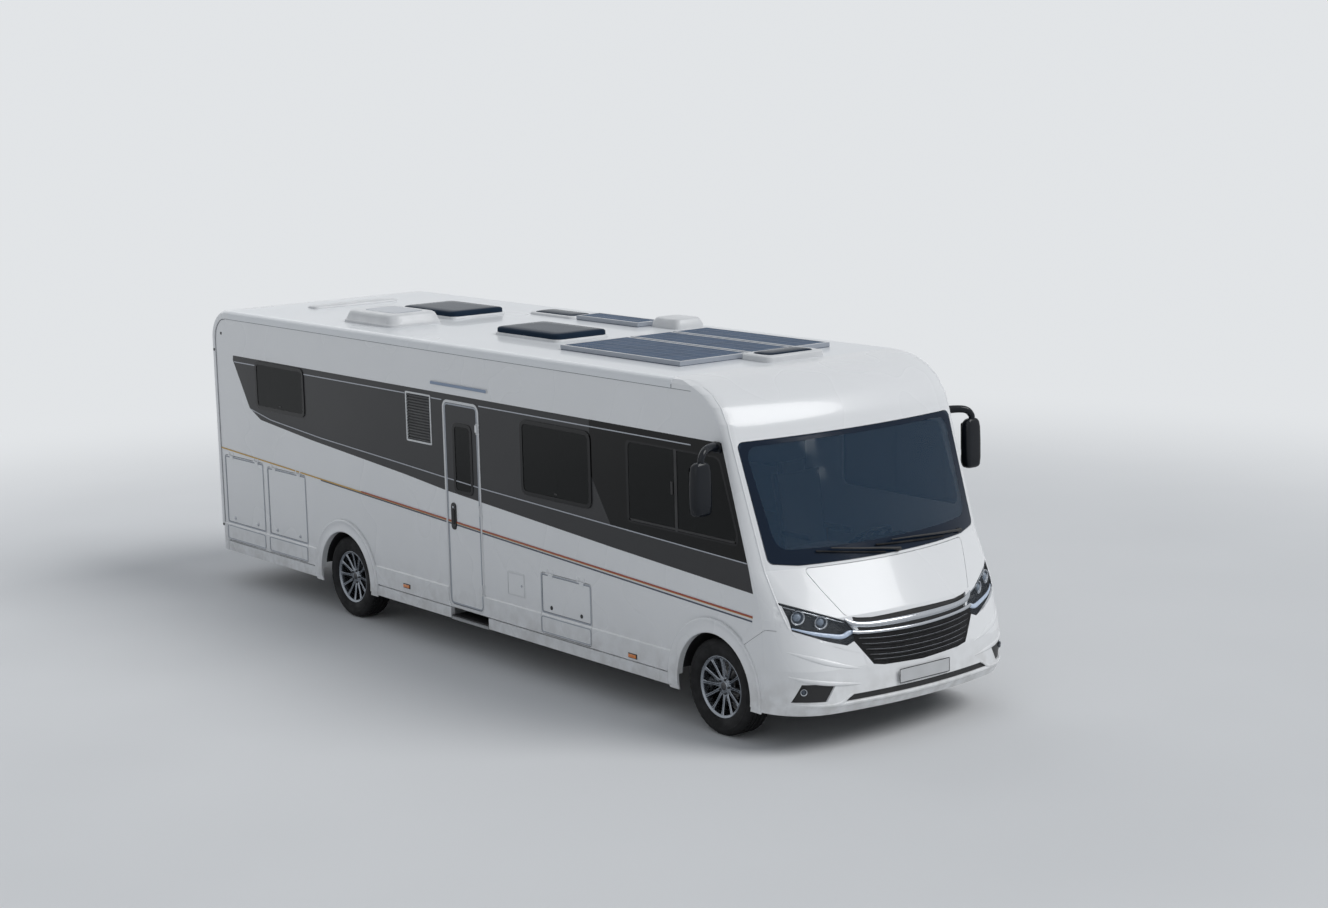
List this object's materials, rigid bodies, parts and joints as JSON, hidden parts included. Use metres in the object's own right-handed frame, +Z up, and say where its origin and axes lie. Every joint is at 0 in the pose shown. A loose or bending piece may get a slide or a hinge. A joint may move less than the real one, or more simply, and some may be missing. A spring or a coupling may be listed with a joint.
{
  "type": "motorhome",
  "caption": "Integrated motorhome with a moulded nose, hinged entry door and lockers, sliding step, roof equipment and steered front wheels.",
  "frame": {"origin": "on the ground, midway along and across the overall size with the mirrors", "axes": "+X forwards, +Y to the vehicle's left, +Z up"},
  "size_m": [8.76, 2.99, 2.8599],
  "materials": {
    "body_white": "gloss",
    "trim_grey": "satin",
    "trim_white": "satin",
    "tinted_acrylic": "polished",
    "screen_glass": "polished",
    "solar_blue": "polished",
    "black_plastic": "matte",
    "bright_chrome": "polished",
    "clear_lens": "polished",
    "red_lens": "polished",
    "plate_white": "satin",
    "floor_grey": "matte",
    "chassis_steel": "satin",
    "engine_iron": "rough",
    "tank_grey": "matte",
    "dash_grey": "matte",
    "seat_cloth": "woven",
    "cabinet_wood": "satin",
    "step_aluminium": "ribbed",
    "tyre_rubber": "matte",
    "rim_alloy": "machined"
  },
  "bodies": {
    "body": {"side_wall_right": "body_white", "side_wall_left": "body_white", "roof_panel": "body_white", "rear_wall": "body_white", "front_cap": "body_white", "bonnet": "body_white", "front_bumper": "body_white", "rear_bumper": "body_white", "lower_trim": "body_white", "service_flaps": "body_white", "door_trim": "trim_grey", "fridge_vents": "trim_grey", "roof_units": "trim_white", "skylights": "tinted_acrylic", "solar_panels": "solar_blue", "windscreen": "screen_glass", "windows": "tinted_acrylic", "cab_windows": "tinted_acrylic", "grille": "black_plastic", "grille_bars": "bright_chrome", "lamp_housings": "black_plastic", "lamp_lenses": "clear_lens", "tail_lamps": "red_lens", "number_plates": "plate_white", "wheel_housings": "black_plastic", "floor_panel": "floor_grey", "storage_boxes": "floor_grey", "mirrors": "black_plastic", "chassis_frame": "chassis_steel", "running_gear": "chassis_steel", "engine_block": "engine_iron", "tanks": "tank_grey", "dashboard": "dash_grey", "steering_wheel": "dash_grey", "cab_seats": "seat_cloth", "furniture": "cabinet_wood", "wipers": "black_plastic"},
    "entry_door": {"entry_door": "body_white", "door_pane": "tinted_acrylic", "door_handle": "black_plastic"},
    "locker_rear_right": {"locker_rear_right": "body_white"},
    "locker_axle_right": {"locker_axle_right": "body_white"},
    "locker_mid_right": {"locker_mid_right": "body_white"},
    "garage_door_left": {"garage_door_left": "body_white"},
    "locker_mid_left": {"locker_mid_left": "body_white"},
    "entry_step": {"entry_step": "step_aluminium"},
    "knuckle_right": {"knuckle_right": "engine_iron"},
    "knuckle_left": {"knuckle_left": "engine_iron"},
    "wheel_front_right": {"tyre_front_right": "tyre_rubber", "rim_front_right": "rim_alloy"},
    "wheel_front_left": {"tyre_front_left": "tyre_rubber", "rim_front_left": "rim_alloy"},
    "wheel_rear_right": {"tyre_rear_right": "tyre_rubber", "rim_rear_right": "rim_alloy"},
    "wheel_rear_left": {"tyre_rear_left": "tyre_rubber", "rim_rear_left": "rim_alloy"}
  },
  "joints": [
    {"name": "steer_right", "type": "hinge", "parent": "body", "child": "knuckle_right", "pos_m": [3.302, -0.945, 0.374], "axis": [0, 0, 1], "range_deg": [-32, 32]},
    {"name": "wheel_front_right_spin", "type": "hinge", "parent": "knuckle_right", "child": "wheel_front_right", "pos_m": [3.302, -0.998, 0.374], "axis": [0, 1, 0], "continuous": true},
    {"name": "wheel_rear_right_spin", "type": "hinge", "parent": "body", "child": "wheel_rear_right", "pos_m": [-1.998, -0.998, 0.374], "axis": [0, 1, 0], "continuous": true},
    {"name": "steer_left", "type": "hinge", "parent": "body", "child": "knuckle_left", "pos_m": [3.302, 0.945, 0.374], "axis": [0, 0, 1], "range_deg": [-32, 32]},
    {"name": "wheel_front_left_spin", "type": "hinge", "parent": "knuckle_left", "child": "wheel_front_left", "pos_m": [3.302, 0.998, 0.374], "axis": [0, 1, 0], "continuous": true},
    {"name": "wheel_rear_left_spin", "type": "hinge", "parent": "body", "child": "wheel_rear_left", "pos_m": [-1.998, 0.998, 0.374], "axis": [0, 1, 0], "continuous": true},
    {"name": "entry_door_swing", "type": "hinge", "parent": "body", "child": "entry_door", "pos_m": [0.232, -1.159, 1.3], "axis": [0, 0, 1], "range_deg": [0, 115]},
    {"name": "locker_rear_right_lift", "type": "hinge", "parent": "body", "child": "locker_rear_right", "pos_m": [-3.8585, -1.159, 1.262], "axis": [-1, 0, 0], "range_deg": [0, 95]},
    {"name": "locker_axle_right_lift", "type": "hinge", "parent": "body", "child": "locker_axle_right", "pos_m": [-3.04, -1.159, 1.242], "axis": [-1, 0, 0], "range_deg": [0, 95]},
    {"name": "locker_mid_right_lift", "type": "hinge", "parent": "body", "child": "locker_mid_right", "pos_m": [1.43, -1.159, 0.922], "axis": [-1, 0, 0], "range_deg": [0, 95]},
    {"name": "garage_door_left_lift", "type": "hinge", "parent": "body", "child": "garage_door_left", "pos_m": [-3.64, 1.159, 1.262], "axis": [1, 0, 0], "range_deg": [0, 95]},
    {"name": "locker_mid_left_lift", "type": "hinge", "parent": "body", "child": "locker_mid_left", "pos_m": [0.87, 1.159, 0.922], "axis": [1, 0, 0], "range_deg": [0, 95]},
    {"name": "entry_step_slide", "type": "slide", "parent": "body", "child": "entry_step", "axis": [0, -1, 0], "range_m": [0, 0.25]}
  ],
  "couplings": [
    {"joint": "steer_left", "follows": "steer_right", "ratio": 1}
  ]
}
